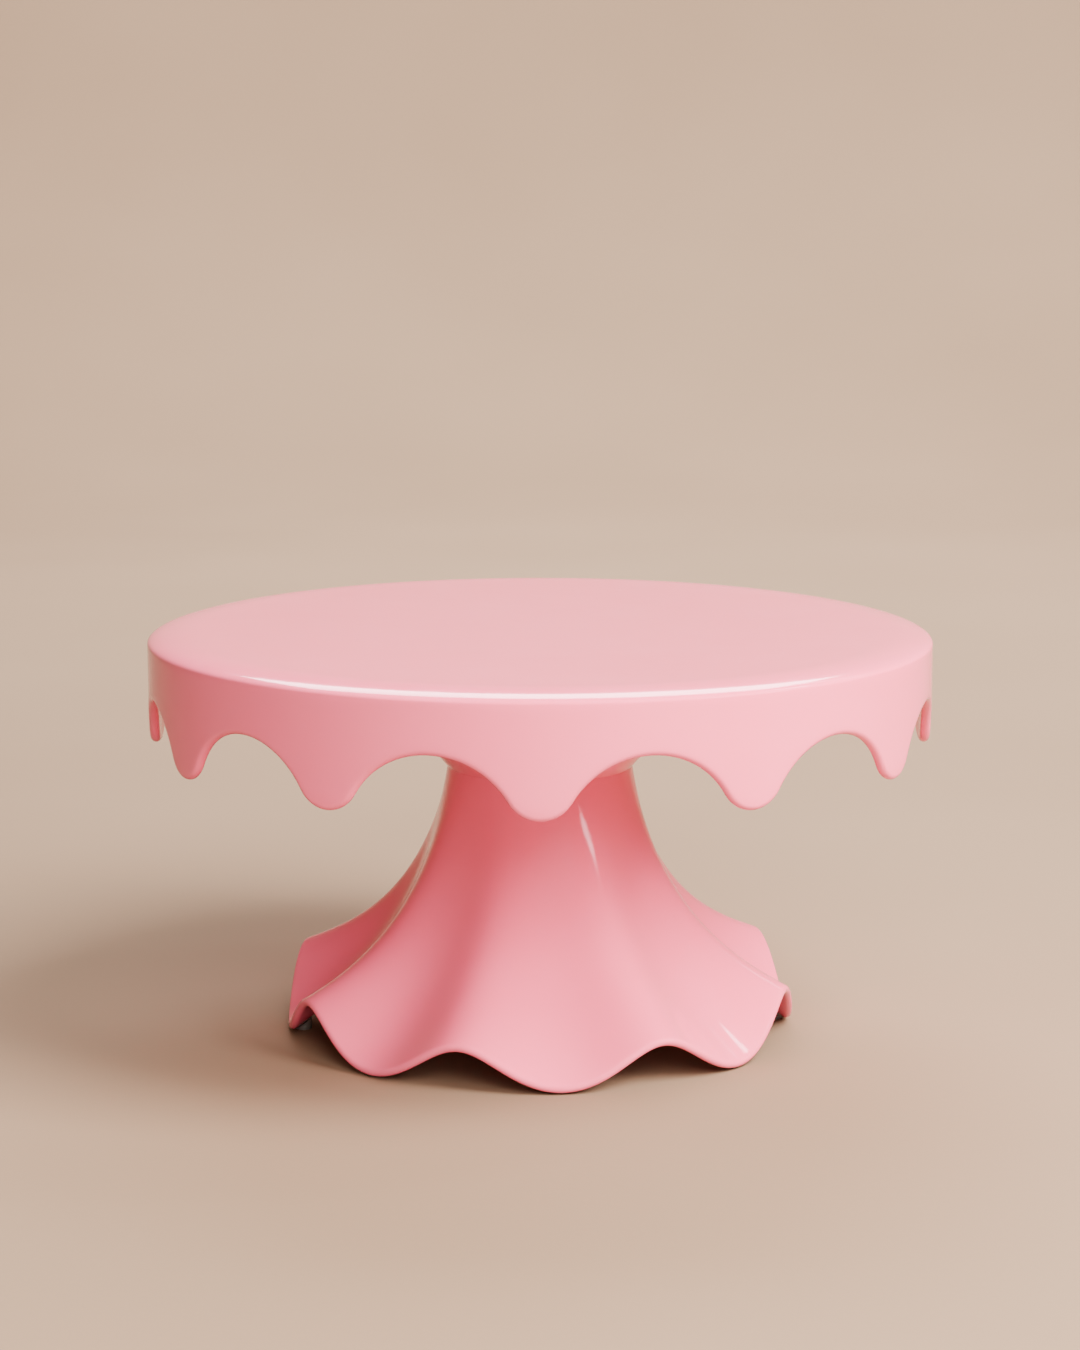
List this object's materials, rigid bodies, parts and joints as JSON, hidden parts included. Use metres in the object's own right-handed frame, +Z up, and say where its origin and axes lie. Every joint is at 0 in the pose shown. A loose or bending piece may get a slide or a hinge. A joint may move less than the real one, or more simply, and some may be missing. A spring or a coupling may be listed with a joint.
{
  "type": "cake turntable",
  "caption": "Round cake turntable: a glossy plate with a dripping skirt turns on a ball bearing in the head of a fluted, wavy-hemmed pedestal.",
  "frame": {"origin": "on the table, at the centre of the turning axis", "axes": "+Z up along the turning axis, towards the cake; -Y is the front, where the first drip hangs"},
  "size_m": [0.3, 0.3, 0.157],
  "materials": {
    "plate_gloss": "high-gloss moulded ABS, pink",
    "pedestal_gloss": "high-gloss moulded ABS, pink",
    "screw_steel": "zinc-plated steel",
    "bearing_steel": "ground and polished bearing steel",
    "bush_bronze": "sintered oil-filled bronze",
    "cage_nylon": "natural nylon",
    "housing_white": "moulded acetal, off-white",
    "pad_silicone": "translucent silicone"
  },
  "bodies": {
    "pedestal": {"pedestal": "pedestal_gloss", "bearing_housing": "housing_white", "lower_race": "bearing_steel", "upper_bush": "bush_bronze", "lower_bush": "bush_bronze", "housing_screw_1": "screw_steel", "housing_screw_2": "screw_steel", "housing_screw_3": "screw_steel", "foot_pad_1": "pad_silicone", "foot_pad_2": "pad_silicone", "foot_pad_3": "pad_silicone", "foot_pad_4": "pad_silicone", "foot_pad_5": "pad_silicone", "foot_pad_6": "pad_silicone", "foot_pad_7": "pad_silicone", "foot_pad_8": "pad_silicone"},
    "plate": {"cake_plate": "plate_gloss", "hub": "plate_gloss", "spindle": "bearing_steel", "upper_race": "bearing_steel", "retaining_washer": "bearing_steel", "circlip": "bearing_steel", "hub_screw_1": "screw_steel", "hub_screw_2": "screw_steel", "hub_screw_3": "screw_steel", "hub_screw_4": "screw_steel"},
    "cage": {"ball_cage": "cage_nylon", "ball_1": "bearing_steel", "ball_2": "bearing_steel", "ball_3": "bearing_steel", "ball_4": "bearing_steel", "ball_5": "bearing_steel", "ball_6": "bearing_steel", "ball_7": "bearing_steel", "ball_8": "bearing_steel", "ball_9": "bearing_steel", "ball_10": "bearing_steel", "ball_11": "bearing_steel", "ball_12": "bearing_steel"}
  },
  "joints": [
    {"name": "plate_spin", "type": "hinge", "parent": "pedestal", "child": "plate", "pos_m": [0, 0, 0.1187], "axis": [0, 0, 1], "continuous": true},
    {"name": "cage_spin", "type": "hinge", "parent": "pedestal", "child": "cage", "pos_m": [0, 0, 0.1187], "axis": [0, 0, 1], "continuous": true}
  ],
  "couplings": [
    {"joint": "cage_spin", "follows": "plate_spin", "ratio": 0.5}
  ]
}
